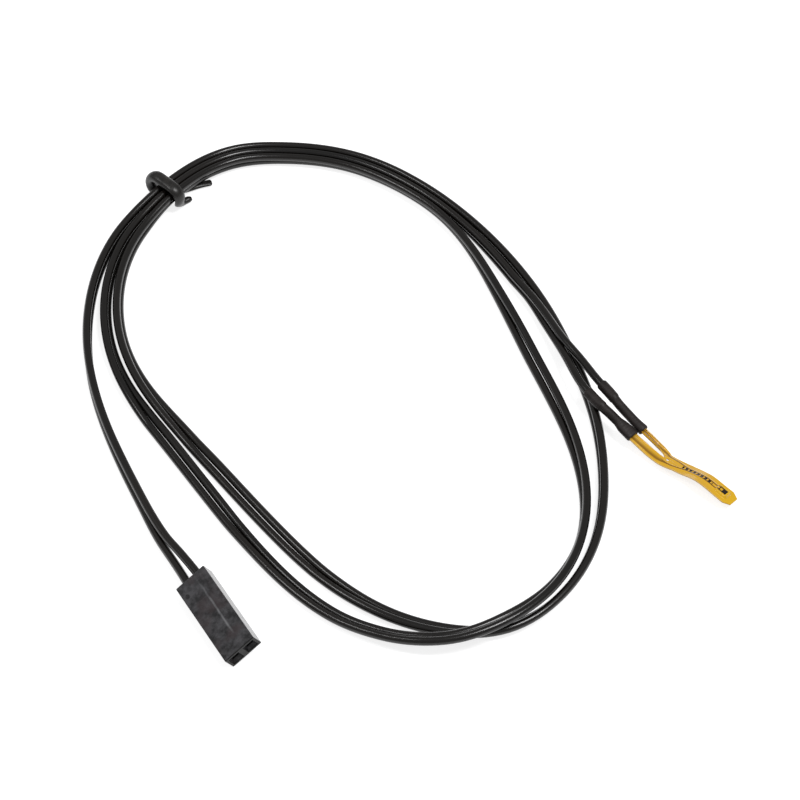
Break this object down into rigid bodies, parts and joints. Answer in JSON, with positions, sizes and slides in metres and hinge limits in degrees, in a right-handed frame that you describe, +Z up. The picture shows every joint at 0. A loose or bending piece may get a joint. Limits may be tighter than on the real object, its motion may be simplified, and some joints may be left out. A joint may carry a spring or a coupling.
{
  "type": "film temperature sensor",
  "caption": "Flat film temperature sensor: a chip near the tip of a slit yellow film strip, shrink-sleeved legs, a coiled and tied thin twin lead, and a flat crimp plug.",
  "frame": {"origin": "centre of the sensor head's own footprint (film, sleeves and what they hold), on the table it lies on", "axes": "+Z up from the table. Seen from above with +Y away, the film's tip points to +X -Y and the coil lies to -X."},
  "size_m": [0.0965, 0.1014, 0.0051],
  "materials": {
    "polyimide_film": "smooth translucent film",
    "sensing_chip": "sawn ceramic with a thin coat",
    "lead_frame": "thin rolled strip",
    "solder": "as flowed",
    "shrink_sleeve": "shrunk, slightly rough",
    "wire_insulation": "extruded",
    "tinned_strands": "tinned",
    "terminal_strip": "tinned strip",
    "plug_body": "fine moulded texture",
    "soft_tie": "matte"
  },
  "bodies": {
    "root": {"film_bottom": "polyimide_film", "film_top": "polyimide_film", "thermistor_chip": "sensing_chip", "lead_a": "lead_frame", "lead_b": "lead_frame", "solder_a": "solder", "solder_b": "solder", "sleeve_a": "shrink_sleeve", "sleeve_b": "shrink_sleeve", "wire_a": "wire_insulation", "wire_b": "wire_insulation", "core_a_head": "tinned_strands", "core_b_head": "tinned_strands", "core_a_plug": "tinned_strands", "core_b_plug": "tinned_strands", "terminal_a": "terminal_strip", "terminal_b": "terminal_strip", "plug_housing": "plug_body", "bundle_tie": "soft_tie"}
  },
  "joints": []
}
